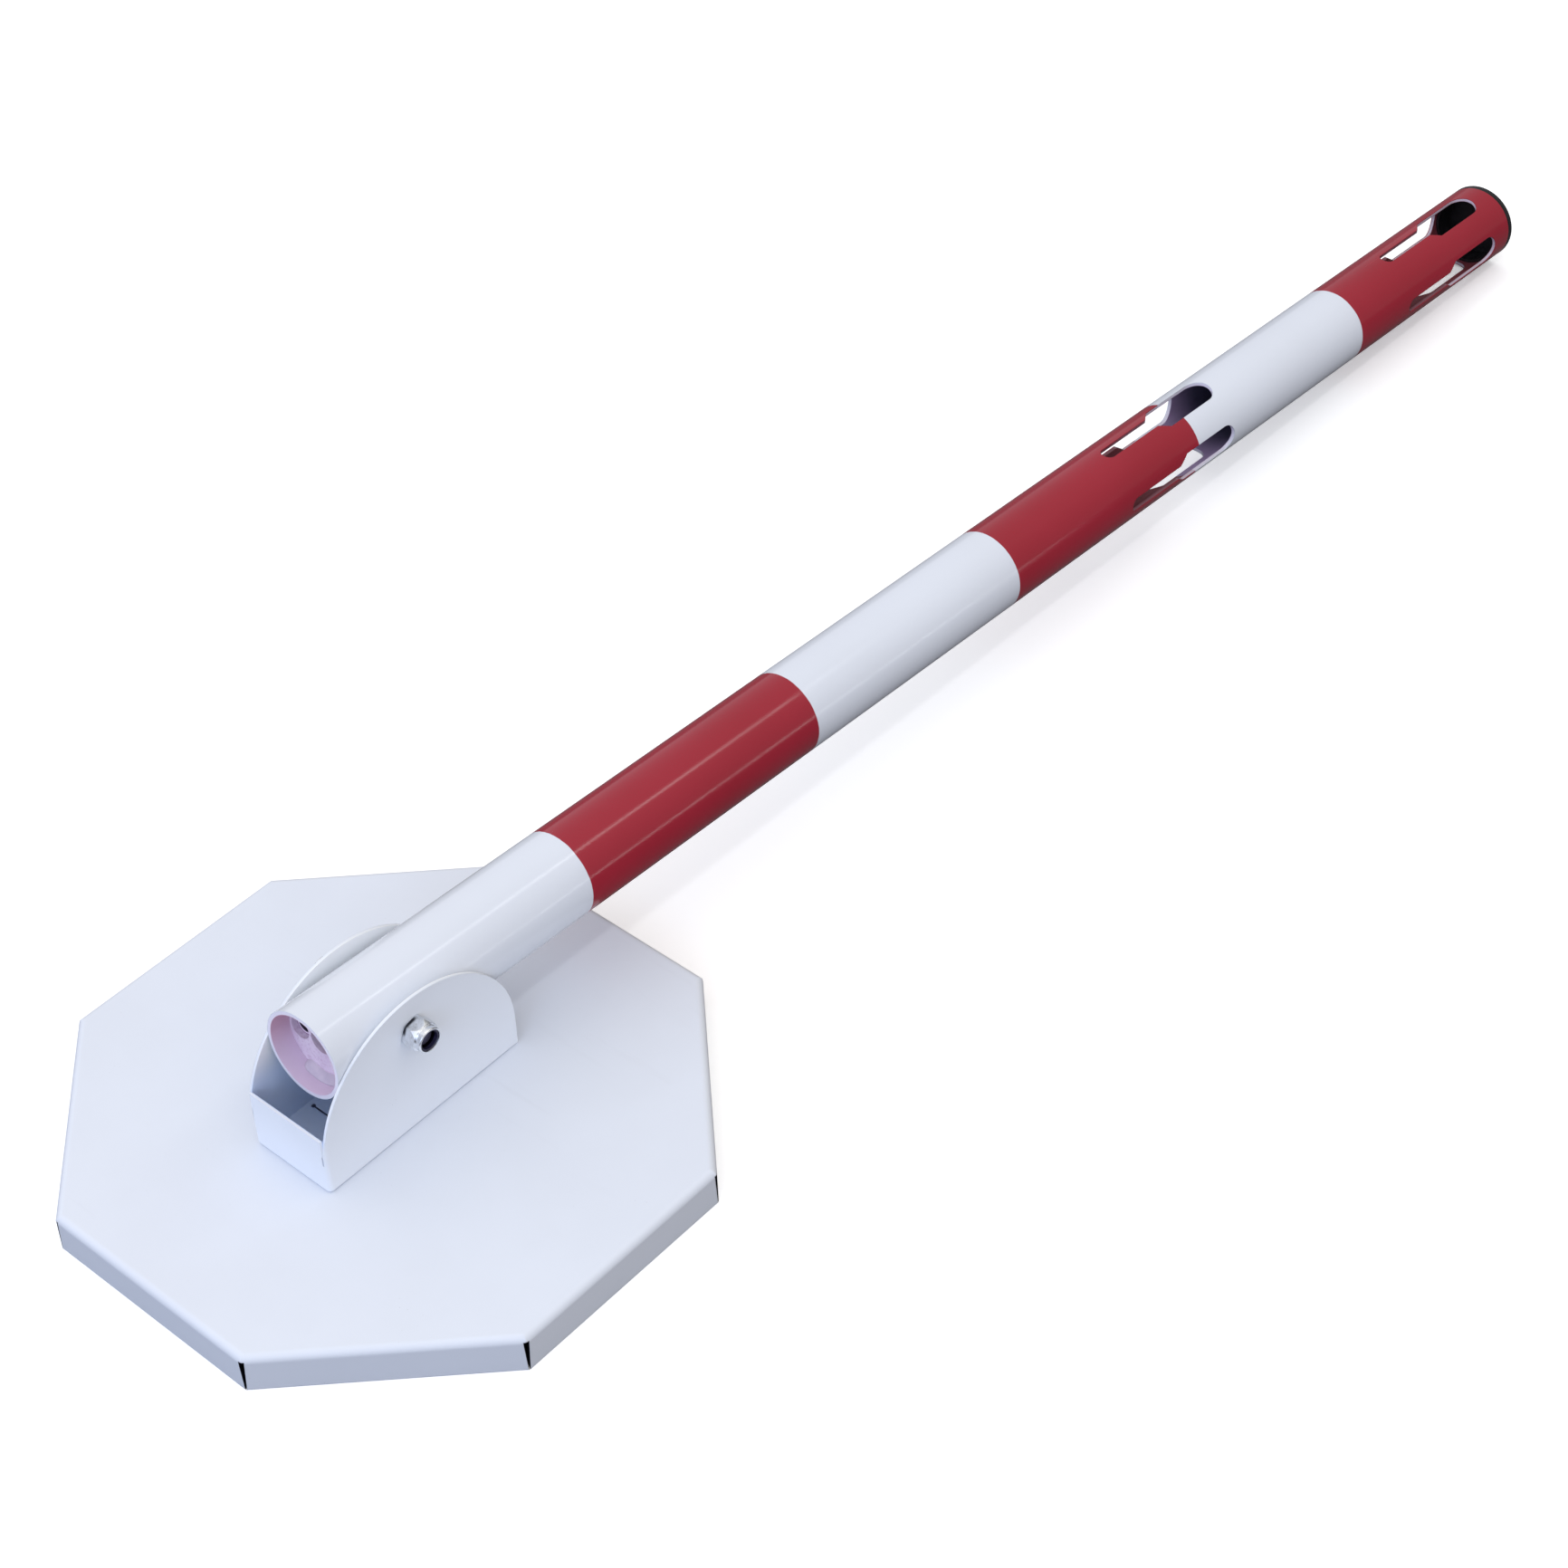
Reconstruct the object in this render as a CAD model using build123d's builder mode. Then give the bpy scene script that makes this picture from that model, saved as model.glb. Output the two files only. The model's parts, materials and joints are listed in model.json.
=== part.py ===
from build123d import *
import math
import os

os.makedirs("parts", exist_ok=True)

# Base pan, one octagonal sheet with eight flanges folded down
BASE_FLATS = 390.0
BASE_HEIGHT = 28.0
BASE_SHEET = 2.5
BASE_BEND = 5.0
FLANGE_GAP_TOP = 3.2
FLANGE_GAP_FOOT = 0.7

# Post tube and its keyhole slots, lengths counted from the lower end
TUBE_DIAMETER = 60.3
TUBE_WALL = 2.9
TUBE_LENGTH = 1280.0
PIVOT_FROM_END = 58.0
KEYHOLE_SEATS = (771.6, 1133.4)
KEYHOLE_TURN = 1.5
KEYHOLE_LENGTH = 125.5
KEYHOLE_NECK = 58.0
KEYHOLE_SHOULDER = 9.0
SLOT_WIDTH = 11.2
EYE_WIDTH = 23.2

# Pivot bracket, folded from one sheet
BRACKET_SHEET = 2.0
BRACKET_LENGTH = 158.0
BRACKET_BEND = 3.0
BRACKET_CORNER = 3.5
CHEEK_STRAIGHT = 24.3
FRONT_WALL = 45.0
SIDE_CLEARANCE = 0.35
SWING_CLEARANCE = 10.6
SEAM_LENGTH = 8.0
SEAM_WIDTH = 0.8
FLOOR_SLIT_X = -38.0
FLOOR_SLIT_LENGTH = 52.0
FLOOR_SLIT_WIDTH = 1.2
SLIT_END_HOLE = 3.0

# Pivot stud, lock nuts and spacer sleeve
STUD_DIAMETER = 12.0
STUD_SHORT_OF_NUT = 4.4
HOLE_CLEARANCE = 0.25
HEX_WALL = 3.5
NUT_HEX = 10.0
NUT_FOOT_WALL = 3.0
NUT_HEIGHT = 14.0
COLLAR_WALL = 1.1
INSERT_WALL = 1.25
INSERT_DEPTH = 3.0
INSERT_LIP = 0.6
SLEEVE_WALL = 1.75
TURNING_CLEARANCE = 0.08

# Upright stop plate
STOP_SHEET = 3.0
STOP_HEIGHT = 40.0
STOP_FOOT = 32.0
STOP_CLEARANCE = 0.35

# Bracket fixing bolts
FIXING_DIAMETER = 8.0
FIXING_HEX_WALL = 2.5
FIXING_HEX_FACE = 0.96
FIXING_HEAD = 5.3
FIXING_NUT = 6.5
FIXING_WASHER_WALL = 4.0
FIXING_WASHER_THICK = 1.6
FIXING_TAIL = 2.4
FIXING_X = 20.0
FIXING_Y = 18.0

# Disc in the tube's lower end
DISC_DEPTH = 14.5
DISC_SHEET = 4.0
DISC_FIT = 0.1
DISC_HOLE = 17.0
DISC_SIDE_HOLE = 15.0
DISC_NUT_FLATS = 17.0
DISC_NUT_HEIGHT = 8.0
DISC_NUT_BORE = 10.0
DISC_NUT_TO_WALL = 0.4
WELD_LEG = 5.0
WELD_START = 212.0
WELD_ARC = 88.0
WELD_RUN_OUT = 9.0

# Cap in the tube's upper end
CAP_FLANGE = 3.6
CAP_ROUND = 1.2
CAP_PLUG_DEPTH = 18.0
CAP_PLUG_WALL = 2.0
CAP_FIT = 0.1
FLOOR_CLEARANCE = 0.3

# Sizes that follow from the ones above
tube_radius = TUBE_DIAMETER / 2
bore_radius = tube_radius - TUBE_WALL
cheek_gap = TUBE_DIAMETER + 2 * SIDE_CLEARANCE
bracket_width = cheek_gap + 2 * BRACKET_SHEET
half_length = BRACKET_LENGTH / 2
floor_top = BASE_HEIGHT + BRACKET_SHEET
arch_z = BASE_HEIGHT + CHEEK_STRAIGHT
pivot_z = floor_top + SWING_CLEARANCE + math.hypot(PIVOT_FROM_END, tube_radius)
post_reach = TUBE_LENGTH - PIVOT_FROM_END + CAP_FLANGE
hole_radius = STUD_DIAMETER / 2 + HOLE_CLEARANCE
hex_flats = STUD_DIAMETER + 2 * HEX_WALL
insert_radius = hole_radius + INSERT_WALL
collar_radius = insert_radius + COLLAR_WALL
sleeve_radius = hole_radius + SLEEVE_WALL
fixing_hole = FIXING_DIAMETER / 2 + HOLE_CLEARANCE
fixing_flats = FIXING_DIAMETER + 2 * FIXING_HEX_WALL
fixing_washer = FIXING_DIAMETER + 2 * FIXING_WASHER_WALL
disc_nut_side = DISC_NUT_FLATS / math.sqrt(3)
disc_nut_reach = math.sqrt((bore_radius - DISC_NUT_TO_WALL) ** 2 - (disc_nut_side / 2) ** 2)
disc_side_offset = disc_nut_reach - DISC_NUT_FLATS / 2

# The folded post leans down until its top rests on the floor
reach_to_rim = math.hypot(post_reach, tube_radius)
rim_angle = math.atan2(tube_radius, post_reach)
fold_angle = math.asin((pivot_z - FLOOR_CLEARANCE) / reach_to_rim) - rim_angle
post_axis = Vector(math.cos(fold_angle), 0, -math.sin(fold_angle))
post_up = Vector(math.sin(fold_angle), 0, math.cos(fold_angle))
post_side = Vector(0, 1, 0)
pivot = Vector(0, 0, pivot_z)
post_plane = Plane(origin=pivot, x_dir=post_side, z_dir=post_axis)
lower_end = post_plane.offset(-PIVOT_FROM_END)

# Octagonal pan with folded flanges and open corners
with BuildPart() as base_pan:
    with BuildSketch(Plane.XY):
        RegularPolygon(BASE_FLATS / 2, 8, major_radius=False, rotation=22.5)
    extrude(amount=BASE_HEIGHT)
    fillet(base_pan.faces().sort_by(Axis.Z)[-1].edges(), BASE_BEND)
    with BuildSketch(Plane.XY):
        RegularPolygon(BASE_FLATS / 2 - BASE_SHEET, 8, major_radius=False, rotation=22.5)
    extrude(amount=BASE_HEIGHT - BASE_SHEET, mode=Mode.SUBTRACT)
    under_z = BASE_HEIGHT - BASE_SHEET
    inner_bends = base_pan.edges().filter_by_position(Axis.Z, under_z - 0.01, under_z + 0.01)
    fillet(inner_bends, BASE_BEND - BASE_SHEET)
    corner_radius = BASE_FLATS / 2 / math.cos(math.radians(22.5))
    gap_top_z = BASE_HEIGHT - BASE_BEND
    for corner in range(8):
        turn = math.radians(22.5 + 45 * corner)
        outward = Vector(math.cos(turn), math.sin(turn), 0)
        along = Vector(-math.sin(turn), math.cos(turn), 0)
        gap_plane = Plane(origin=outward * (corner_radius - 8), x_dir=along, z_dir=outward)
        with BuildSketch(gap_plane):
            with BuildLine():
                foot = Line((-FLANGE_GAP_FOOT / 2, -1), (FLANGE_GAP_FOOT / 2, -1))
                side = Line(foot @ 1, (FLANGE_GAP_TOP / 2, gap_top_z))
                crown = ThreePointArc(
                    side @ 1, (0, gap_top_z + FLANGE_GAP_TOP / 2), (-FLANGE_GAP_TOP / 2, gap_top_z)
                )
                Line(crown @ 1, foot @ 0)
            make_face()
        extrude(amount=12, mode=Mode.SUBTRACT)
    with BuildSketch(Plane.XY.offset(BASE_HEIGHT)):
        with GridLocations(2 * FIXING_X, 2 * FIXING_Y, 2, 2):
            Circle(fixing_hole)
    extrude(amount=-BASE_SHEET, mode=Mode.SUBTRACT)
base_pan.part.label = "base_pan"
export_step(base_pan.part, "parts/base_pan.step")

# Bracket with arched cheeks, a low front wall and a slit floor
with BuildPart() as pivot_bracket:
    with BuildSketch(Plane.XZ):
        with BuildLine():
            foot = Line((-half_length, BASE_HEIGHT), (half_length, BASE_HEIGHT))
            rear = Line(foot @ 1, (half_length, arch_z))
            arch = ThreePointArc(rear @ 1, (0, arch_z + half_length), (-half_length, arch_z))
            Line(arch @ 1, foot @ 0)
        make_face()
    extrude(amount=bracket_width / 2, both=True)
    with BuildSketch(Plane.XY.offset(arch_z)):
        with Locations((BRACKET_SHEET / 2 - half_length, 0)):
            Rectangle(BRACKET_SHEET, cheek_gap)
    extrude(amount=FRONT_WALL - CHEEK_STRAIGHT)
    with BuildSketch(Plane.XY.offset(BASE_HEIGHT)):
        Rectangle(2 * half_length + 2, bracket_width + 2)
        with Locations((BRACKET_CORNER, 0)):
            RectangleRounded(
                2 * half_length + 2 * BRACKET_CORNER, bracket_width, BRACKET_CORNER, mode=Mode.SUBTRACT
            )
    extrude(amount=2 * half_length, mode=Mode.SUBTRACT)
    foot_edges = pivot_bracket.faces().sort_by(Axis.Z)[0].edges()
    fillet(foot_edges.sort_by(Axis.X)[:-1], BRACKET_BEND)
    with BuildSketch(Plane.XY.offset(floor_top)):
        with Locations((BRACKET_SHEET, 0)):
            RectangleRounded(2 * half_length, cheek_gap, BRACKET_CORNER - BRACKET_SHEET)
    extrude(amount=2 * half_length, mode=Mode.SUBTRACT)
    with BuildSketch(Plane.XY.offset(floor_top)):
        with Locations((half_length / 2, 0)):
            Rectangle(half_length + 2, cheek_gap)
    extrude(amount=2 * half_length, mode=Mode.SUBTRACT)
    with BuildSketch(Plane.XY.offset(BASE_HEIGHT + FRONT_WALL)):
        with Locations((-half_length, 0)):
            Rectangle(4 * BRACKET_CORNER, cheek_gap)
    extrude(amount=2 * half_length, mode=Mode.SUBTRACT)
    with BuildSketch(Plane.YZ.offset(-half_length - 1)):
        with Locations((0, BASE_HEIGHT + FRONT_WALL * 0.62)):
            with GridLocations(cheek_gap - SEAM_WIDTH, 0, 2, 1):
                SlotOverall(SEAM_LENGTH, SEAM_WIDTH, rotation=90)
    extrude(amount=BRACKET_SHEET + 1, mode=Mode.SUBTRACT)
    with BuildSketch(Plane.XY.offset(BASE_HEIGHT)):
        with Locations((FLOOR_SLIT_X, 0)):
            Rectangle(FLOOR_SLIT_WIDTH, FLOOR_SLIT_LENGTH)
            with GridLocations(0, FLOOR_SLIT_LENGTH, 1, 2):
                Circle(SLIT_END_HOLE / 2)
        with GridLocations(2 * FIXING_X, 2 * FIXING_Y, 2, 2):
            Circle(fixing_hole)
    extrude(amount=BRACKET_SHEET, mode=Mode.SUBTRACT)
    with BuildSketch(Plane.XZ):
        with Locations((0, pivot_z)):
            Circle(hole_radius)
    extrude(amount=bracket_width, both=True, mode=Mode.SUBTRACT)
pivot_bracket.part.label = "pivot_bracket"
export_step(pivot_bracket.part, "parts/pivot_bracket.step")

# Angle plate that the upright post stands against
stop_x = tube_radius + STOP_CLEARANCE
with BuildPart() as stop_plate:
    with BuildSketch(Plane.XZ):
        with BuildLine():
            Polyline(
                (stop_x, floor_top),
                (stop_x + STOP_FOOT, floor_top),
                (stop_x + STOP_FOOT, floor_top + STOP_SHEET),
                (stop_x + STOP_SHEET, floor_top + STOP_SHEET),
                (stop_x + STOP_SHEET, floor_top + STOP_HEIGHT),
                (stop_x, floor_top + STOP_HEIGHT),
                close=True,
            )
        make_face()
    extrude(amount=cheek_gap / 2 - SIDE_CLEARANCE, both=True)
    bend = stop_plate.edges().filter_by(Axis.Y).sort_by(Axis.Z)
    fillet(bend.group_by(Axis.Z)[0].sort_by(Axis.X)[0], STOP_SHEET + 1)
    inside = stop_plate.edges().filter_by(Axis.Y).filter_by_position(
        Axis.X, stop_x + STOP_SHEET - 0.01, stop_x + STOP_SHEET + 0.01
    )
    fillet(inside.sort_by(Axis.Z)[0], 1)
stop_plate.part.label = "stop_plate"
export_step(stop_plate.part, "parts/stop_plate.step")

# Pivot stud, threaded at both ends
near_face = Plane(origin=(0, -bracket_width / 2, pivot_z), x_dir=(1, 0, 0), z_dir=(0, -1, 0))
stud_length = bracket_width + 2 * (NUT_HEIGHT - STUD_SHORT_OF_NUT)
with BuildPart() as pivot_stud:
    with BuildSketch(Plane.XZ):
        with Locations((0, pivot_z)):
            Circle(STUD_DIAMETER / 2)
    extrude(amount=stud_length / 2, both=True)
    chamfer(pivot_stud.edges().filter_by(GeomType.CIRCLE), 1)
pivot_stud.part.label = "pivot_stud"
export_step(pivot_stud.part, "parts/pivot_stud.step")

# Lock nuts outside both cheeks, each a hexagon with a round collar
with BuildPart() as pivot_nuts:
    with BuildSketch(near_face):
        RegularPolygon(hex_flats / 2, 6, major_radius=False, rotation=10)
    extrude(amount=NUT_HEX)
    with BuildSketch(near_face):
        Circle(hex_flats / 2 + 3.2)
    extrude(amount=NUT_HEX, taper=17, mode=Mode.INTERSECT)
    with BuildSketch(near_face):
        Circle(hole_radius + NUT_FOOT_WALL)
    extrude(amount=NUT_HEX, taper=-60, mode=Mode.INTERSECT)
    with BuildSketch(near_face.offset(NUT_HEX)):
        Circle(collar_radius)
    extrude(amount=NUT_HEIGHT - NUT_HEX)
    fillet(pivot_nuts.faces().sort_by(Axis.Y)[0].edges(), 0.8)
    with BuildSketch(near_face):
        Circle(hole_radius)
    extrude(amount=NUT_HEIGHT, mode=Mode.SUBTRACT)
    with BuildSketch(near_face.offset(NUT_HEIGHT - INSERT_DEPTH)):
        Circle(insert_radius)
    extrude(amount=INSERT_DEPTH, mode=Mode.SUBTRACT)
    mirror(about=Plane.XZ)
pivot_nuts.part.label = "pivot_nuts"
export_step(pivot_nuts.part, "parts/pivot_nuts.step")

# Plastic rings in the ends of the lock nuts
with BuildPart() as nut_inserts:
    with BuildSketch(near_face.offset(NUT_HEIGHT - INSERT_DEPTH)):
        Circle(insert_radius)
        Circle(hole_radius, mode=Mode.SUBTRACT)
    extrude(amount=INSERT_DEPTH - INSERT_LIP)
    mirror(about=Plane.XZ)
nut_inserts.part.label = "nut_inserts"
export_step(nut_inserts.part, "parts/nut_inserts.step")

# Spacer sleeve held between the cheeks, on which the post turns
with BuildPart() as pivot_sleeve:
    with BuildSketch(Plane.XZ):
        with Locations((0, pivot_z)):
            Circle(sleeve_radius)
            Circle(hole_radius, mode=Mode.SUBTRACT)
    extrude(amount=cheek_gap / 2, both=True)
pivot_sleeve.part.label = "pivot_sleeve"
export_step(pivot_sleeve.part, "parts/pivot_sleeve.step")

# Four fixing bolts with their heads on the bracket floor
bolt_head_plane = Plane.XY.offset(floor_top)
pan_under = BASE_HEIGHT - BASE_SHEET
fixing_length = BRACKET_SHEET + BASE_SHEET + FIXING_WASHER_THICK + FIXING_NUT + FIXING_TAIL
with BuildPart() as bracket_bolts:
    with BuildSketch(bolt_head_plane):
        with GridLocations(2 * FIXING_X, 2 * FIXING_Y, 2, 2):
            RegularPolygon(fixing_flats / 2, 6, major_radius=False)
    extrude(amount=FIXING_HEAD)
    with BuildSketch(Plane(origin=(0, 0, floor_top + FIXING_HEAD), z_dir=(0, 0, -1))):
        with GridLocations(2 * FIXING_X, 2 * FIXING_Y, 2, 2):
            Circle(fixing_flats / 2 * FIXING_HEX_FACE)
    extrude(amount=FIXING_HEAD, taper=-60, mode=Mode.INTERSECT)
    with BuildSketch(bolt_head_plane):
        with GridLocations(2 * FIXING_X, 2 * FIXING_Y, 2, 2):
            Circle(FIXING_DIAMETER / 2)
    extrude(amount=-fixing_length)
    chamfer(bracket_bolts.edges().group_by(Axis.Z)[0], 0.8)
bracket_bolts.part.label = "bracket_bolts"
export_step(bracket_bolts.part, "parts/bracket_bolts.step")

# Washers under the pan
with BuildPart() as bracket_washers:
    with BuildSketch(Plane.XY.offset(pan_under)):
        with GridLocations(2 * FIXING_X, 2 * FIXING_Y, 2, 2):
            Circle(fixing_washer / 2)
            Circle(fixing_hole, mode=Mode.SUBTRACT)
    extrude(amount=-FIXING_WASHER_THICK)
bracket_washers.part.label = "bracket_washers"
export_step(bracket_washers.part, "parts/bracket_washers.step")

# Nuts under the washers
with BuildPart() as bracket_nuts:
    with BuildSketch(Plane.XY.offset(pan_under - FIXING_WASHER_THICK)):
        with GridLocations(2 * FIXING_X, 2 * FIXING_Y, 2, 2):
            RegularPolygon(fixing_flats / 2, 6, major_radius=False)
            Circle(fixing_hole, mode=Mode.SUBTRACT)
    extrude(amount=-FIXING_NUT)
    with BuildSketch(Plane.XY.offset(pan_under - FIXING_WASHER_THICK - FIXING_NUT)):
        with GridLocations(2 * FIXING_X, 2 * FIXING_Y, 2, 2):
            Circle(fixing_flats / 2 * FIXING_HEX_FACE)
    extrude(amount=FIXING_NUT, taper=-60, mode=Mode.INTERSECT)
bracket_nuts.part.label = "bracket_nuts"
export_step(bracket_nuts.part, "parts/bracket_nuts.step")

# Post tube with pivot holes and four keyholes at each of two heights
slot_radius = SLOT_WIDTH / 2
eye_radius = EYE_WIDTH / 2
keyhole_turn = math.radians(KEYHOLE_TURN)
keyhole_up = post_up * math.cos(keyhole_turn) - post_side * math.sin(keyhole_turn)
keyhole_side = post_side * math.cos(keyhole_turn) + post_up * math.sin(keyhole_turn)
with BuildPart() as post_tube:
    with BuildSketch(lower_end):
        Circle(tube_radius)
        Circle(bore_radius, mode=Mode.SUBTRACT)
    extrude(amount=TUBE_LENGTH)
    for seat in KEYHOLE_SEATS:
        seat_point = pivot + post_axis * (seat - PIVOT_FROM_END)
        for outward in (keyhole_up, keyhole_side):
            with BuildSketch(Plane(origin=seat_point, x_dir=post_axis, z_dir=outward)):
                with BuildLine():
                    seat_arc = ThreePointArc((slot_radius, -slot_radius), (0, 0), (slot_radius, slot_radius))
                    neck = Line(seat_arc @ 1, (KEYHOLE_NECK, slot_radius))
                    ramp = Line(neck @ 1, (KEYHOLE_NECK + KEYHOLE_SHOULDER, eye_radius))
                    flank = Line(ramp @ 1, (KEYHOLE_LENGTH - eye_radius, eye_radius))
                    eye = ThreePointArc(
                        flank @ 1, (KEYHOLE_LENGTH, 0), (KEYHOLE_LENGTH - eye_radius, -eye_radius)
                    )
                    other = Line(eye @ 1, (KEYHOLE_NECK + KEYHOLE_SHOULDER, -eye_radius))
                    other_ramp = Line(other @ 1, (KEYHOLE_NECK, -slot_radius))
                    Line(other_ramp @ 1, seat_arc @ 0)
                make_face()
            extrude(amount=TUBE_DIAMETER, both=True, mode=Mode.SUBTRACT)
    with BuildSketch(Plane.XZ):
        with Locations((0, pivot_z)):
            Circle(sleeve_radius + TURNING_CLEARANCE)
    extrude(amount=TUBE_DIAMETER, both=True, mode=Mode.SUBTRACT)
post_tube.part.label = "post_tube"
export_step(post_tube.part, "parts/post_tube.step")

# Disc set into the lower end, with a middle hole and a side hole
disc_face = lower_end.offset(DISC_DEPTH)
with BuildPart() as bottom_disc:
    with BuildSketch(disc_face):
        Circle(bore_radius - DISC_FIT)
        Circle(DISC_HOLE / 2, mode=Mode.SUBTRACT)
        with Locations((disc_side_offset, 0)):
            Circle(DISC_SIDE_HOLE / 2, mode=Mode.SUBTRACT)
    extrude(amount=DISC_SHEET)
bottom_disc.part.label = "bottom_disc"
export_step(bottom_disc.part, "parts/bottom_disc.step")

# Nut behind the side hole
with BuildPart() as disc_nut:
    with BuildSketch(disc_face.offset(DISC_SHEET)):
        with Locations((disc_side_offset, 0)):
            RegularPolygon(DISC_NUT_FLATS / 2, 6, major_radius=False, rotation=30)
            Circle(DISC_NUT_BORE / 2, mode=Mode.SUBTRACT)
    extrude(amount=DISC_NUT_HEIGHT)
disc_nut.part.label = "disc_nut"
export_step(disc_nut.part, "parts/disc_nut.step")

# Weld bead between the disc and the tube wall, running out thin at both ends
bead_edge = bore_radius - DISC_FIT
bead_steps = round(WELD_ARC / WELD_RUN_OUT)
with BuildPart() as disc_weld:
    for step in range(bead_steps + 1):
        turn = math.radians(WELD_START + WELD_ARC * step / bead_steps)
        leg = WELD_LEG if 0 < step < bead_steps else WELD_LEG * 0.3
        out = post_side * math.cos(turn) + post_up * math.sin(turn)
        with BuildSketch(Plane(origin=disc_face.origin, x_dir=out, z_dir=out.cross(-post_axis))):
            with BuildLine():
                wall_side = Line((bead_edge, 0), (bead_edge, leg))
                face = ThreePointArc(
                    wall_side @ 1, (bead_edge - leg * 0.56, leg * 0.56), (bead_edge - leg, 0)
                )
                Line(face @ 1, wall_side @ 0)
            make_face()
    loft()
disc_weld.part.label = "disc_weld"
export_step(disc_weld.part, "parts/disc_weld.step")

# Plastic cap pushed into the upper end
upper_end = post_plane.offset(TUBE_LENGTH - PIVOT_FROM_END)
plug_radius = bore_radius - CAP_FIT
with BuildPart() as top_cap:
    with BuildSketch(upper_end):
        Circle(tube_radius)
    extrude(amount=CAP_FLANGE)
    outer_rim = top_cap.faces().sort_by(Axis.X)[-1].edges()
    fillet(outer_rim, CAP_ROUND)
    with BuildSketch(upper_end):
        Circle(plug_radius)
        Circle(plug_radius - CAP_PLUG_WALL, mode=Mode.SUBTRACT)
    extrude(amount=-CAP_PLUG_DEPTH)
top_cap.part.label = "top_cap"
export_step(top_cap.part, "parts/top_cap.step")
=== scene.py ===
import json
import math

import bpy
from mathutils import Matrix, Vector


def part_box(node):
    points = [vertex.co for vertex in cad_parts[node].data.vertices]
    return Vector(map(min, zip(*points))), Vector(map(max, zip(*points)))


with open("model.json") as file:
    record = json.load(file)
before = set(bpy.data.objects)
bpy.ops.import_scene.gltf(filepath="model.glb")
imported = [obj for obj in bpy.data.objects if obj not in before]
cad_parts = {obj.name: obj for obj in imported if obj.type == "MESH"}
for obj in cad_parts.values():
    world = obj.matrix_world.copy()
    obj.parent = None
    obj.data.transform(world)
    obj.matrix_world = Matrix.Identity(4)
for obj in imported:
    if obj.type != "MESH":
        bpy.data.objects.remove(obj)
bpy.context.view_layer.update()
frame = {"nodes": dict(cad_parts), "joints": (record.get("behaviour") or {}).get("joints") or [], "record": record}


def srgb(red, green, blue):
    """A colour as a picture holds it, 0 to 255, as the linear colour that shaders take."""
    shares = [value / 255 for value in (red, green, blue)]
    return (*(v / 12.92 if v < 0.04045 else ((v + 0.055) / 1.055) ** 2.4 for v in shares), 1.0)


# Camera, fitted to the photograph; the focal length is in the photograph's pixels
PHOTO_SIDE = 1732
PHOTO_FOCAL = 3646.8
SENSOR_WIDTH = 36
CLIP_START, CLIP_END = 0.01, 100
CAMERA_AT = Vector((-0.8351, -1.0916, 1.5191))
CAMERA_LOOKS = Vector((0.54384, 0.49447, -0.67804))
CAMERA_ROLL = math.radians(-1.912)

# Colours of the white sheet pieces
WHITE = srgb(222, 227, 236)
WHITE_WORN = srgb(212, 216, 224)
BRACKET_WHITE = srgb(229, 234, 242)
# Painted light and shade inside the bracket: a blue-tinted painted shade lower down, a paler painted light higher
# up
INSIDE_BLUE_SHADE = srgb(215, 229, 252)
INSIDE_PAINTED_LIGHT = srgb(246, 248, 250)
SPECK_GREY = srgb(164, 162, 162)
# Painted shade on the cut edges of the flange gaps and in the bracket's slit
GAP_SHADE = srgb(22, 21, 32)
SLIT_SHADE = srgb(96, 102, 128)

# Colours of the post: outside, cut edges, inside
RED = srgb(157, 29, 48)
RED_DEEP = srgb(147, 24, 40)
RED_SCUFFED = srgb(172, 60, 70)
# Cut edges on the red bands are a darker red, partly the red paint and partly painted shade
RED_CUT_SHADED = srgb(118, 30, 48)
BARE_CUT = srgb(234, 226, 242)
BORE_DARK = srgb(78, 74, 98)
BORE_LESS_DARK = srgb(92, 87, 114)
# Round the keyholes the inside is paler, partly overspray and partly painted light
SPRAY_WHITE_LIT = srgb(174, 154, 192)
SPRAY_RED_LIT = srgb(133, 58, 67)
# In the lower end the bore's mist is darker and pinker high up, as painted shade
BORE_LOW = srgb(212, 194, 216)
BORE_HIGH_SHADE = srgb(214, 172, 190)

# Colours of the pieces in the post's lower end
MIST = srgb(232, 218, 234)
MIST_THICK = srgb(218, 198, 220)
MIST_GRAIN = srgb(188, 154, 184)
# The disc nut's bore: bare threads darkened further as painted shade; the gap round the nut: painted shade
DISC_NUT_THREADS_SHADE = srgb(62, 50, 70)
DISC_NUT_GAP_SHADE = srgb(134, 98, 132)
BEAD = srgb(206, 194, 208)
BEAD_THICK = srgb(182, 172, 190)

# Colours of the hardware and the plastic pieces
ZINC = srgb(244, 247, 251)
ZINC_CLOUD = srgb(206, 209, 213)
ZINC_DULL = srgb(158, 154, 148)
# In the pivot nuts' bores: dark threads and stud end, partly their own colour and partly painted shade
STUD_END_SHADED = srgb(112, 110, 134)
THREADS_SHADED = srgb(24, 22, 38)
# Painted shade in the corner where each pivot nut meets the cheek, on its upper side
CORNER_PAINTED_SHADE = srgb(62, 63, 68)
NYLON = srgb(28, 26, 54)
NYLON_RUBBED = srgb(58, 55, 92)
CAP_BLACK = srgb(14, 13, 16)
CAP_RUBBED = srgb(33, 31, 35)

# Light: the floor as the object meets it and how far it is lifted, how much white shows in gloss
FLOOR_GREY = srgb(92, 92, 96)
FLOOR_LIFT = 0.25
GLOSSY_SHARE = 0.06
PURE_WHITE = (1, 1, 1, 1)

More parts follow.
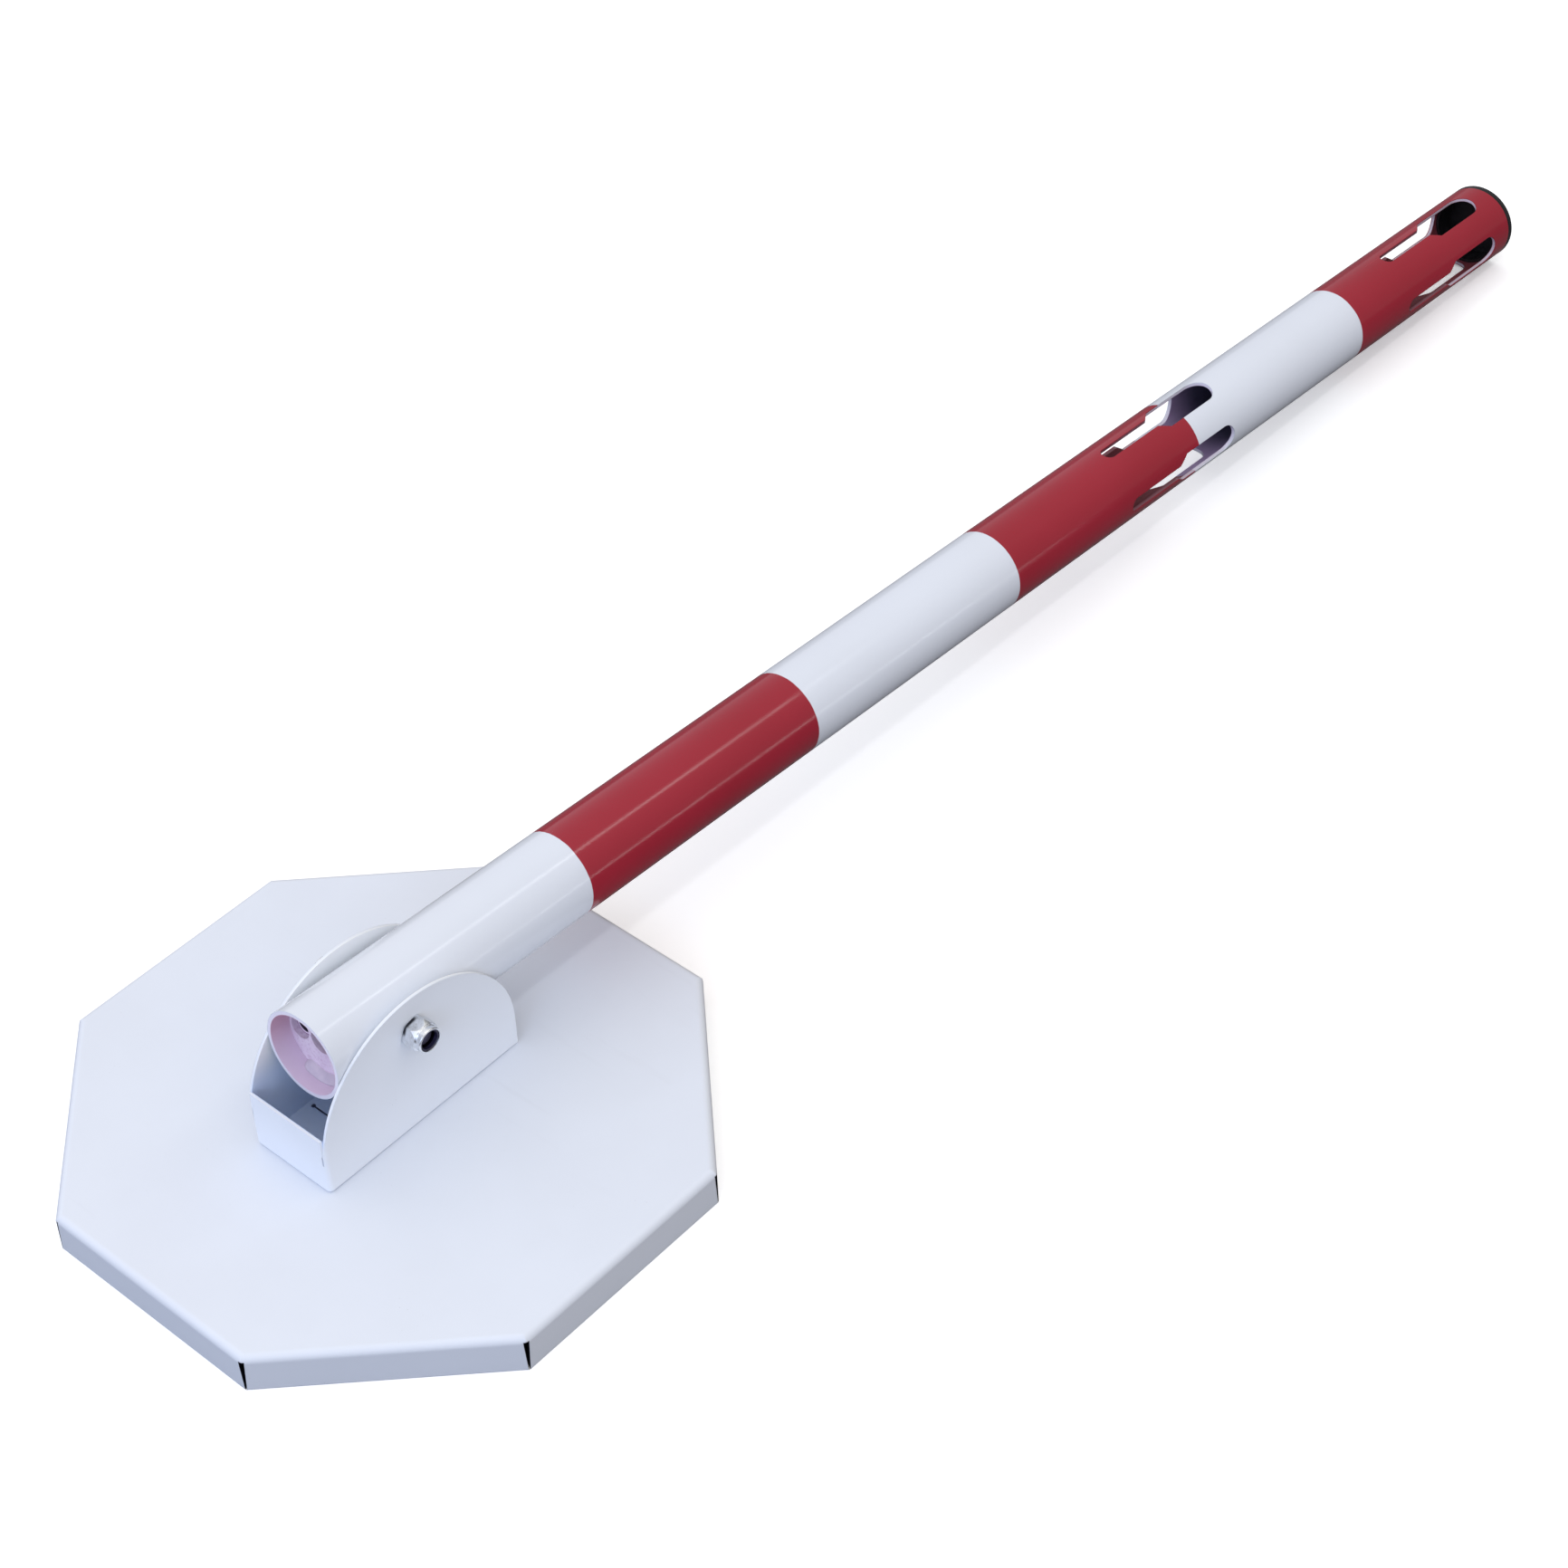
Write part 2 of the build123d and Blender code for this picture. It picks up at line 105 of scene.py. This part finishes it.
# Gaps between the pan's flanges: half width at the floor and its growth with height.
# In this and the next blocks, a pair is where a mask starts and where it is full.
GAP_FOOT = 0.0004
GAP_FLARE = 0.052
GAP_EDGE = (0.0003, 0.0001)
GAP_TOP = (0.0247, 0.0243)
HALF_SIDE = math.pi / 8

# Box round the slit in the bracket's floor, and the bracket's inside, where painted shade and painted light go
SLIT = (Vector((-0.0396, -0.0277, 0.0255)), Vector((-0.0364, 0.0277, 0.0299)))
SLIT_SOFT = 0.0001
INSIDE_SHADE_SOFT = 0.0006
INSIDE_SHADE_HEIGHTS = (0.098, 0.070)
BRACKET_SKIN = 0.0012
FAR_OFF = 1.0

# Paint bands of the post, and how far from the ends a place still counts as the end itself
BANDS = 6
BAND_WOBBLE = 0.0008
BAND_EDGE = (-0.004, 0.004)
END_MARGIN = 0.002
BLACK_END = (-0.0023, -0.0019)

# Keyholes, measured along the post from their mount, and the overspray and painted light round them
KEYHOLE_BELOW = 0.006
KEYHOLE_NECK = 0.056
KEYHOLE_ABOVE = 0.120
NECK_SOFT = 0.008
SPRAY_BELOW = 0.045
SPRAY_ABOVE = 0.036
SPRAY_SHORT = 0.008

# Tube wall: cut edge and bore as shares of the wall, mist in the lower end, and the low and high places of the
# painted shade on its upper side
CUT_STARTS = (0.15, 0.25)
BORE_STARTS = (0.12, 0.04)
BORE_MIST = (0.034, 0.020)
BORE_SHADE_HEIGHTS = (-0.020, 0.012)

# Disc nut, from its axis and its bore, where bare threads and painted shade go, and the weld, from the disc's face
DISC_NUT_BARE_TO = (0.0006, 0.0003)
DISC_NUT_GAP_SHADE_IN = (0.0067, 0.0069)
DISC_NUT_GAP_SHADE_OUT = (0.0075, 0.0073)
BEAD_FROM = (-0.0001, -0.0005)

# Pivot nuts: threads from the bore, the stud's end as a share of it, the painted shade in the corner at the cheek
OUTSIDE_FROM = 0.0004
THREADS_TO = (0.0004, 0.0002)
STUD_RIM = (0.92, 0.98)
CORNER_DEPTH = (0.0032, 0.0016)
CORNER_TOWARDS = Vector((-0.5, 0, 0.87))
CORNER_SPREAD = (0.66, 0.88)

# Places taken from the frame
NODES = frame["nodes"]
JOINT = frame["joints"][0]
PIVOT = Vector(JOINT["pos_m"])
TILT = math.radians(JOINT["range_deg"][1] - 90)
POST_AXIS = Vector((math.cos(TILT), 0, -math.sin(TILT)))
POST_UP = Vector((math.sin(TILT), 0, math.cos(TILT)))
POST_SIDE = Vector((0, 1, 0))
UP = Vector((0, 0, 1))

TUBE = [v.co - PIVOT for v in NODES["post_tube"].data.vertices]
TUBE_LOW = min(v.dot(POST_AXIS) for v in TUBE)
TUBE_HIGH = max(v.dot(POST_AXIS) for v in TUBE)
TUBE_LENGTH = TUBE_HIGH - TUBE_LOW
TUBE_RADIUS = max(v.y for v in TUBE)
TUBE_BORE = min(math.hypot(v.y, v.dot(POST_UP)) for v in TUBE)
TUBE_WALL = TUBE_RADIUS - TUBE_BORE
KEYHOLES = [(Vector(mount["pos_m"]) - PIVOT).dot(POST_AXIS) - TUBE_LOW
            for mount in frame["record"]["mounts"] if mount["name"].endswith("keyhole_up")]

NUTS = [v.co - PIVOT for v in NODES["pivot_nuts"].data.vertices]
NUT_BORE = min(math.hypot(v.x, v.z) for v in NUTS)
CHEEK_FACE = min(abs(v.y) for v in NUTS)

DISC_NUT = [v.co for v in NODES["disc_nut"].data.vertices]
DISC_NUT_AT = sum(DISC_NUT, Vector()) / len(DISC_NUT)
DISC_NUT_BORE = min((v - DISC_NUT_AT).cross(POST_AXIS).length for v in DISC_NUT)
DISC_FACE = min((v.co - DISC_NUT_AT).dot(POST_AXIS)
                for v in NODES["bottom_disc"].data.vertices)

# Sockets of Blender's mix node that hold colours, and the samples for softened edges
MIX_INPUTS = (0, 6, 7)
MIX_OUTPUT = 2
BEVEL_SAMPLES = 6


def shifted(pair, start, unit=1.0):
    """A pair of limits, scaled and counted from another start."""
    return [start + unit * value for value in pair]


class Graph:
    """The nodes of a material or of the world, with short names for the common ones."""

    def __init__(self, owner):
        owner.use_nodes = True
        self.tree = owner.node_tree
        self.tree.nodes.clear()

    def node(self, kind, **settings):
        made = self.tree.nodes.new(kind)
        for key, value in settings.items():
            setattr(made, key, value)
        return made

    def put(self, socket, value):
        """Links a socket to another one, or sets it to a plain value."""
        if isinstance(value, bpy.types.NodeSocket):
            self.tree.links.new(value, socket)
        else:
            socket.default_value = value

    def fill(self, made, values):
        """Puts values into a node's first sockets and returns its first output."""
        for socket, value in zip(made.inputs, values):
            self.put(socket, value)
        return made.outputs[0]

    def math(self, operation, *values, clamp=False):
        made = self.node("ShaderNodeMath", operation=operation, use_clamp=clamp)
        return self.fill(made, values)

    def times(self, first, second):
        return self.math("MULTIPLY", first, second)

    def add(self, base, mask, gain):
        """A base value, with a mask's share of a gain on top."""
        return self.math("MULTIPLY_ADD", mask, gain, base)

    def vector(self, operation, *values):
        made = self.node("ShaderNodeVectorMath", operation=operation)
        self.fill(made, values)
        return made.outputs["Value" if operation in ("DOT_PRODUCT", "LENGTH") else "Vector"]

    def dot(self, first, second):
        return self.vector("DOT_PRODUCT", first, second)

    def ramp(self, value, start, end, low=0.0, high=1.0):
        """A smooth step from low at the start to high at the end, which may lie below it."""
        made = self.node("ShaderNodeMapRange", interpolation_type="SMOOTHSTEP")
        return self.fill(made, (value, start, end, low, high))

    def mix(self, factor, first, second, blend="MIX"):
        made = self.node("ShaderNodeMix", data_type="RGBA", blend_type=blend)
        for number, value in zip(MIX_INPUTS, (factor, first, second)):
            self.put(made.inputs[number], value)
        return made.outputs[MIX_OUTPUT]

    def stain(self, colour, mask, tint, strength):
        """A colour with some of a tint where a mask is."""
        return self.mix(self.times(mask, strength), colour, tint)

    def blend(self, factor, first, second):
        return self.fill(self.node("ShaderNodeMixShader"), (factor, first, second))

    def white_share(self):
        """How much of the white background each kind of ray meets."""
        rays = self.node("ShaderNodeLightPath").outputs
        seen = self.math("MAXIMUM", rays["Is Camera Ray"], rays["Is Transmission Ray"])
        return self.math("MULTIPLY_ADD", rays["Is Glossy Ray"], GLOSSY_SHARE, seen, clamp=True)


class Look(Graph):
    """One material of the object, with the textures it is made from."""

    def __init__(self, name):
        self.material = bpy.data.materials.new(name)
        super().__init__(self.material)
        self.shader = self.node("ShaderNodeBsdfPrincipled")
        self.put(self.node("ShaderNodeOutputMaterial").inputs[0], self.shader.outputs[0])
        self.place = self.node("ShaderNodeTexCoord").outputs["Object"]

    def noise(self, scale, detail, rough=0.5, stretch=None):
        place = self.place if stretch is None else self.vector("MULTIPLY", self.place, stretch)
        made = self.node("ShaderNodeTexNoise")
        inputs = {"Vector": place, "Scale": scale, "Detail": detail, "Roughness": rough}
        for key, value in inputs.items():
            self.put(made.inputs[key], value)
        return made.outputs["Fac"]

    def cells(self, scale):
        """The distance to the nearest of many scattered points."""
        made = self.node("ShaderNodeTexVoronoi")
        self.put(made.inputs["Vector"], self.place)
        self.put(made.inputs["Scale"], scale)
        return made.outputs["Distance"]

    def within(self, low, high, soft):
        """A mask that is 1 inside a box and fades away over a short distance at its sides."""
        mask = 1.0
        for axis, start, end in zip(Matrix.Identity(3), low, high):
            part = self.dot(self.place, axis)
            mask = self.times(mask, self.ramp(part, start, start + soft))
            mask = self.times(mask, self.ramp(part, end, end - soft))
        return mask

    def flange_gaps(self):
        """A mask on the cut edges of the eight gaps between the pan's flanges."""
        x, y, z = (self.dot(self.place, axis) for axis in Matrix.Identity(3))
        turn = self.math("SUBTRACT", self.math("ARCTAN2", y, x), HALF_SIDE)
        from_corner = self.math("SINE", self.math("PINGPONG", turn, HALF_SIDE))
        across = self.times(from_corner, self.vector("LENGTH", self.place))
        past = self.math("SUBTRACT", across, self.add(GAP_FOOT, z, gain=GAP_FLARE))
        return self.times(self.ramp(past, *GAP_EDGE), self.ramp(z, *GAP_TOP))

    def along_post(self, origin):
        """Sockets for a place's distance up the post from an origin, and off its line."""
        away = self.vector("SUBTRACT", self.place, origin)
        along = self.dot(away, POST_AXIS)
        across = self.dot(away, POST_SIDE)
        height = self.dot(away, POST_UP)
        squares = self.add(self.times(height, height), across, gain=across)
        return along, self.math("SQRT", squares)

    def relief(self, height, strength, depth, edge):
        """A normal with fine relief on it, and with edges softened to a radius."""
        soft = self.node("ShaderNodeBevel", samples=BEVEL_SAMPLES)
        soft.inputs["Radius"].default_value = edge
        made = self.node("ShaderNodeBump")
        made.inputs["Strength"].default_value = strength
        made.inputs["Distance"].default_value = depth
        self.put(made.inputs["Height"], height)
        self.put(made.inputs["Normal"], soft.outputs[0])
        return made.outputs[0]

    def finish(self, **inputs):
        for key, value in inputs.items():
            self.put(self.shader.inputs[key.replace("_", " ")], value)
        return self.material


def white_coat(name, white, worn, gloss, edge, shaded_hollow=None):
    """White powder coat: fine orange peel, faint mottle, sparse specks and duller scuffs; painted shade and
    painted light inside the bracket, painted shade in the flange gaps and the slit.
    """
    look = Look(name)
    mottle = look.ramp(look.noise(scale=14, detail=4), start=0.3, end=0.7)
    scuff_lines = look.noise(scale=120, detail=4, rough=0.6, stretch=Vector((1, 0.06, 1)))
    scuff_spots = look.noise(scale=9, detail=3)
    scuffs = look.times(look.ramp(scuff_lines, start=0.62, end=0.72),
                        look.ramp(scuff_spots, start=0.54, end=0.68))
    speck_patches = look.noise(scale=31, detail=2)
    specks = look.times(look.ramp(look.cells(scale=260), start=0.09, end=0.05),
                        look.ramp(speck_patches, start=0.60, end=0.68))
    colour = look.stain(white, mottle, worn, strength=0.22)
    colour = look.stain(colour, scuffs, worn, strength=0.3)
    colour = look.stain(colour, specks, SPECK_GREY, strength=0.35)
    # Painted shade inside the bracket, bluer lower down, and paler painted light higher up
    if shaded_hollow:
        shade_low_down = look.ramp(look.dot(look.place, UP), *INSIDE_SHADE_HEIGHTS)
        inside = look.mix(shade_low_down, INSIDE_PAINTED_LIGHT, INSIDE_BLUE_SHADE)
        colour = look.mix(look.within(*shaded_hollow, INSIDE_SHADE_SOFT), colour, inside)
    # Painted shade on the cut edges of the flange gaps and in the slit
    colour = look.mix(look.flange_gaps(), colour, GAP_SHADE)
    colour = look.mix(look.within(*SLIT, SLIT_SOFT), colour, SLIT_SHADE)
    roughness = look.add(look.add(gloss, scuffs, gain=0.14), mottle, gain=0.05)
    peel = look.noise(scale=520, detail=2)
    normal = look.relief(peel, strength=0.07, depth=0.0004, edge=edge)
    return look.finish(Base_Color=colour, Roughness=roughness, Normal=normal,
                       Specular_IOR_Level=0.3)


def post_coat(name):
    """The post: six bands of gloss paint, a thin step at each band, a dark inside, paler round the keyholes with
    overspray and painted light, and painted shade on the cut edges along the slots.
    """
    look = Look(name)
    from_pivot, radius = look.along_post(PIVOT)
    along = look.math("SUBTRACT", from_pivot, TUBE_LOW)
    along = look.math("MAXIMUM", along, END_MARGIN)
    along = look.math("MINIMUM", along, TUBE_LENGTH - END_MARGIN)
    wobble = look.math("SUBTRACT", look.noise(scale=90, detail=2), 0.5)
    turn = look.times(look.add(along, wobble, gain=BAND_WOBBLE), math.pi * BANDS / TUBE_LENGTH)
    red = look.ramp(look.times(look.math("SINE", turn), -1.0), *BAND_EDGE)

    # Outside
    mottle = look.ramp(look.noise(scale=11, detail=4), start=0.3, end=0.7)
    scuff_lines = look.noise(scale=150, detail=4, rough=0.55, stretch=Vector((0.05, 1, 1)))
    scuff_spots = look.noise(scale=8, detail=3)
    scuffs = look.times(look.ramp(scuff_lines, start=0.60, end=0.70),
                        look.ramp(scuff_spots, start=0.52, end=0.66))
    white = look.stain(WHITE, mottle, WHITE_WORN, strength=0.2)
    deep = look.stain(RED, mottle, RED_DEEP, strength=0.5)
    deep = look.stain(deep, scuffs, RED_SCUFFED, strength=0.2)
    paint = look.mix(red, white, deep)
    paint = look.mix(look.ramp(from_pivot, *shifted(BLACK_END, TUBE_HIGH)), paint, CAP_BLACK)

    # Inside, paler round the keyholes with overspray and painted light, and the cut edges, paler at the wide eyes
    # and darker along the narrow slots as painted shade
    patches = look.ramp(look.noise(scale=60, detail=3), start=0.3, end=0.7)
    thin = look.mix(patches, BORE_DARK, BORE_LESS_DARK)
    spray_and_light = look.mix(red, SPRAY_WHITE_LIT, SPRAY_RED_LIT)
    bare = 0.7
    for keyhole in KEYHOLES:
        low, neck, high = (keyhole - KEYHOLE_BELOW, keyhole + KEYHOLE_NECK,
                           keyhole + KEYHOLE_ABOVE)
        start = look.ramp(along, low - SPRAY_BELOW, low)
        end = look.ramp(along, high + SPRAY_ABOVE, high - SPRAY_SHORT)
        thin = look.mix(look.times(start, end), thin, spray_and_light)
        # Along the narrow slots the cut edges take the darker band colour, as painted shade
        slot = look.times(start, look.ramp(along, neck + NECK_SOFT, neck - NECK_SOFT))
        bare = look.add(bare, slot, gain=-0.62)
    # Mist in the lower end, with painted shade on its upper side
    height = look.dot(look.vector("SUBTRACT", look.place, PIVOT), POST_UP)
    lower_end_mist_shade = look.mix(look.ramp(height, *BORE_SHADE_HEIGHTS), BORE_LOW, BORE_HIGH_SHADE)
    inner = look.mix(look.ramp(along, *BORE_MIST), thin, lower_end_mist_shade)
    cut = look.mix(bare, look.mix(red, paint, RED_CUT_SHADED), BARE_CUT)
    on_cut = look.ramp(radius, *shifted(CUT_STARTS, TUBE_RADIUS, -TUBE_WALL))
    on_bore = look.ramp(radius, *shifted(BORE_STARTS, TUBE_BORE, TUBE_WALL))
    colour = look.mix(on_bore, look.mix(on_cut, paint, cut), inner)

    roughness = look.add(look.add(0.14, mottle, gain=0.04), scuffs, gain=0.16)
    roughness = look.add(roughness, on_bore, gain=0.3)
    peel = look.times(look.noise(scale=420, detail=2), 0.2)
    step = look.add(peel, red, gain=0.5)
    normal = look.relief(step, strength=0.12, depth=0.0004, edge=0.0005)
    return look.finish(Base_Color=colour, Roughness=roughness, Normal=normal,
                       Specular_IOR_Level=0.42)


def overspray(name):
    """The pieces in the lower end: a thin lilac mist, bare threads with painted shade in the nut, painted shade in
    the gap round the nut, greyer on the weld.
    """
    look = Look(name)
    mist = look.ramp(look.noise(scale=45, detail=4), start=0.32, end=0.66)
    fine = look.noise(scale=500, detail=3)
    colour = look.mix(mist, MIST, MIST_THICK)
    colour = look.stain(colour, look.ramp(fine, start=0.5, end=0.7), MIST_GRAIN, strength=0.4)
    depth, from_nut = look.along_post(DISC_NUT_AT)
    # Bare threads in the nut's bore with painted shade on them, and painted shade in the gap round the nut
    bare = look.ramp(from_nut, *shifted(DISC_NUT_BARE_TO, DISC_NUT_BORE))
    colour = look.mix(bare, colour, DISC_NUT_THREADS_SHADE)
    nut_gap_shade = look.times(look.ramp(from_nut, *DISC_NUT_GAP_SHADE_IN), look.ramp(from_nut, *DISC_NUT_GAP_SHADE_OUT))
    colour = look.mix(nut_gap_shade, colour, DISC_NUT_GAP_SHADE)
    on_bead = look.ramp(depth, *shifted(BEAD_FROM, DISC_FACE))
    colour = look.mix(on_bead, colour, look.mix(mist, BEAD, BEAD_THICK))
    roughness = look.ramp(mist, start=0, end=1, low=0.42, high=0.6)
    normal = look.relief(fine, strength=0.14, depth=0.0005, edge=0.0005)
    return look.finish(Base_Color=colour, Roughness=roughness, Normal=normal)


def zinc_plate(name):
    """Bright zinc plate: fine turned rings, cloudy tint, dark threads and stud end with painted shade in the nut's
    bore, painted shade in the corner at the cheeks.
    """
    look = Look(name)
    cloud = look.noise(scale=160, detail=4, rough=0.6)
    dull = look.ramp(look.noise(scale=420, detail=3), start=0.6, end=0.75)
    colour = look.mix(look.ramp(cloud, start=0.35, end=0.7), ZINC, ZINC_CLOUD)
    colour = look.stain(colour, dull, ZINC_DULL, strength=0.4)

    from_pivot = look.vector("SUBTRACT", look.place, PIVOT)
    from_stud = look.vector("LENGTH", look.vector("MULTIPLY", from_pivot, Vector((1, 0, 1))))
    out = look.math("ABSOLUTE", look.dot(from_pivot, POST_SIDE))
    outside = look.ramp(out, CHEEK_FACE, CHEEK_FACE + OUTSIDE_FROM)
    # Dark threads and stud end in the nut's bore, partly their own colour and partly painted shade
    threads = look.times(look.ramp(from_stud, *shifted(THREADS_TO, NUT_BORE)), outside)
    stud_rim = look.ramp(from_stud, *shifted(STUD_RIM, 0.0, NUT_BORE))
    colour = look.mix(threads, colour, look.mix(stud_rim, STUD_END_SHADED, THREADS_SHADED))
    # Painted shade in the corner at the cheek, on the nut's upper side
    towards = look.math("DIVIDE", look.dot(from_pivot, CORNER_TOWARDS), from_stud)
    corner = look.times(look.ramp(out, *shifted(CORNER_DEPTH, CHEEK_FACE)),
                        look.ramp(towards, *CORNER_SPREAD))
    colour = look.mix(look.times(corner, outside), colour, CORNER_PAINTED_SHADE)

    roughness = look.ramp(cloud, start=0.3, end=0.75, low=0.17, high=0.30)
    roughness = look.add(roughness, threads, gain=0.3)
    rings = look.noise(scale=2600, detail=2, stretch=Vector((0.1, 1, 0.1)))
    height = look.add(look.noise(scale=900, detail=2), rings, gain=0.6)
    normal = look.relief(height, strength=0.08, depth=0.0003, edge=0.0004)
    return look.finish(Base_Color=colour, Roughness=roughness, Normal=normal, Metallic=1.0)


def dark_plastic(name, colour, rubbed, rough):
    """Moulded plastic: fine grain, paler and duller where it is rubbed."""
    look = Look(name)
    rub = look.ramp(look.noise(scale=210, detail=4, rough=0.6), start=0.52, end=0.72)
    roughness = look.ramp(rub, start=0, end=1, low=rough, high=rough + 0.18)
    grain = look.noise(scale=1500, detail=2)
    normal = look.relief(grain, strength=0.15, depth=0.0003, edge=0.0004)
    return look.finish(Base_Color=look.mix(rub, colour, rubbed), Roughness=roughness,
                       Normal=normal)


# Materials, one for each slot; the bracket's inside, which gets painted shade and painted light, is its box less
# the outer skin, open upwards
bracket_low, bracket_high = (Vector(corner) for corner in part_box("pivot_bracket"))
BRACKET_SHADED_INSIDE = ([side + BRACKET_SKIN for side in bracket_low],
                  (FAR_OFF, bracket_high.y - BRACKET_SKIN, FAR_OFF))
LOOKS = {
    "base_paint": white_coat("base_paint_coat", WHITE, WHITE_WORN, gloss=0.36, edge=0.0010),
    "bracket_paint": white_coat("bracket_paint_coat", BRACKET_WHITE, WHITE, gloss=0.34,
                                edge=0.0006, shaded_hollow=BRACKET_SHADED_INSIDE),
    "post_paint": post_coat("post_paint_coat"),
    "inside_paint": overspray("inside_paint_mist"),
    "zinc": zinc_plate("zinc_plate"),
    "nylon": dark_plastic("nylon_ring", NYLON, NYLON_RUBBED, rough=0.42),
    "cap_plastic": dark_plastic("cap_moulding", CAP_BLACK, CAP_RUBBED, rough=0.5),
}
for piece in NODES.values():
    for slot in piece.material_slots:
        slot.material = LOOKS[slot.material.name]


def area(name, at, aim, size, power, colour=(1, 1, 1)):
    """A rectangular lamp, its first side level with the floor."""
    lamp = bpy.data.lights.new(name, "AREA")
    lamp.shape = "RECTANGLE"
    lamp.size, lamp.size_y = size
    lamp.energy = power
    lamp.color = colour
    made = bpy.data.objects.new(name, lamp)
    bpy.context.scene.collection.objects.link(made)
    made.visible_camera = False
    made.location = at
    back = (Vector(at) - Vector(aim)).normalized()
    side = Vector((1, 0, 0)) - back * back.x
    side.normalize()
    made.rotation_mode = "QUATERNION"
    turn = Matrix((side, back.cross(side), back)).transposed()
    made.rotation_quaternion = turn.to_quaternion()


def streak(name, angle, distance, along, length, width, power):
    """A long thin lamp beside the folded post, for one line of light along the paint."""
    middle = PIVOT + POST_AXIS * along
    turn = math.radians(angle)
    at = middle + distance * (math.cos(turn) * POST_SIDE + math.sin(turn) * POST_UP)
    area(name, at, middle, (length, width), power)


# Lamps, beside the light from the surroundings
area("fill_left", at=(-2.1, -1.1, 1.3), aim=(0, 0, 0.06), size=(1.0, 1.0), power=9,
     colour=(0.5, 0.68, 1.0))
streak("streak_high", angle=111.5, distance=2.0, along=0.4, length=3.0, width=0.12, power=5.5)
streak("streak_low", angle=180.5, distance=1.0, along=0.7, length=1.6, width=0.03, power=0.85)

# Floor: grey to the object and under the pan, white to the camera with the object's shadow kept
FLOOR_SIZE = 30
UNDER_PAN = -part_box("base_pan")[0][0]
PAN_SHADE = (-0.004, -0.002)
bpy.ops.mesh.primitive_plane_add(size=FLOOR_SIZE, location=(0, 0, 0))
floor = bpy.context.object
floor.name = "floor"
ground = bpy.data.materials.new("floor_plain")
floor.data.materials.append(ground)
plain = Graph(ground)
spot = plain.node("ShaderNodeTexCoord").outputs["Object"]
from_middle = 0.0
for number in range(8):
    turn = number * 2 * HALF_SIDE
    out_to = Vector((math.cos(turn), math.sin(turn), 0))
    from_middle = plain.math("MAXIMUM", from_middle, plain.dot(spot, out_to))
in_the_open = plain.ramp(from_middle, *shifted(PAN_SHADE, UNDER_PAN))
share = plain.times(plain.white_share(), in_the_open)
dull = plain.node("ShaderNodeBsdfDiffuse")
dull.inputs["Color"].default_value = FLOOR_GREY
pale = plain.node("ShaderNodeBsdfDiffuse")
pale.inputs["Color"].default_value = PURE_WHITE
lift = plain.node("ShaderNodeEmission")
lift.inputs["Strength"].default_value = FLOOR_LIFT
lifted = plain.fill(plain.node("ShaderNodeAddShader"), (pale.outputs[0], lift.outputs[0]))
plain.put(plain.node("ShaderNodeOutputMaterial").inputs[0],
          plain.blend(share, dull.outputs[0], lifted))

# Surroundings: a soft colour for each side that light comes from, white to the camera
SURROUNDINGS = {
    (-1, 0, 0): (0.96, 1.09, 1.45),
    (1, 0, 0): (0.06, 0.06, 0.07),
    (0, -1, 0): (0.75, 0.70, 0.68),
    (0, 1, 0): (1.05, 1.04, 1.11),
    (0, 0, 1): (1.17, 1.15, 1.11),
}
world = bpy.data.worlds.new("studio")
bpy.context.scene.world = world
sky = Graph(world)
looking = sky.node("ShaderNodeTexCoord").outputs["Generated"]
light = (0, 0, 0, 1)
for side, colour in SURROUNDINGS.items():
    facing = sky.math("MAXIMUM", sky.dot(looking, Vector(side)), 0.0)
    light = sky.mix(sky.math("POWER", facing, 2.0), light, (*colour, 1), "ADD")
around = sky.node("ShaderNodeBackground")
sky.put(around.inputs["Color"], light)
white = sky.node("ShaderNodeBackground")
white.inputs["Color"].default_value = PURE_WHITE
sky.put(sky.node("ShaderNodeOutputWorld").inputs[0],
        sky.blend(sky.white_share(), around.outputs[0], white.outputs[0]))

# Camera at the photograph's viewing angle
lens = bpy.data.cameras.new("photo_camera")
lens.sensor_fit = "HORIZONTAL"
lens.sensor_width = SENSOR_WIDTH
lens.lens = PHOTO_FOCAL / PHOTO_SIDE * SENSOR_WIDTH
lens.clip_start, lens.clip_end = CLIP_START, CLIP_END
camera = bpy.data.objects.new("photo_camera", lens)
bpy.context.scene.collection.objects.link(camera)
ahead = CAMERA_LOOKS.normalized()
level = ahead.cross(UP).normalized()
right = math.cos(CAMERA_ROLL) * level + math.sin(CAMERA_ROLL) * level.cross(ahead)
facing = Matrix((right, right.cross(ahead), -ahead)).transposed()
camera.matrix_world = Matrix.Translation(CAMERA_AT) @ facing.to_4x4()
bpy.context.scene.camera = camera

bpy.context.scene.view_settings.view_transform = "Standard"
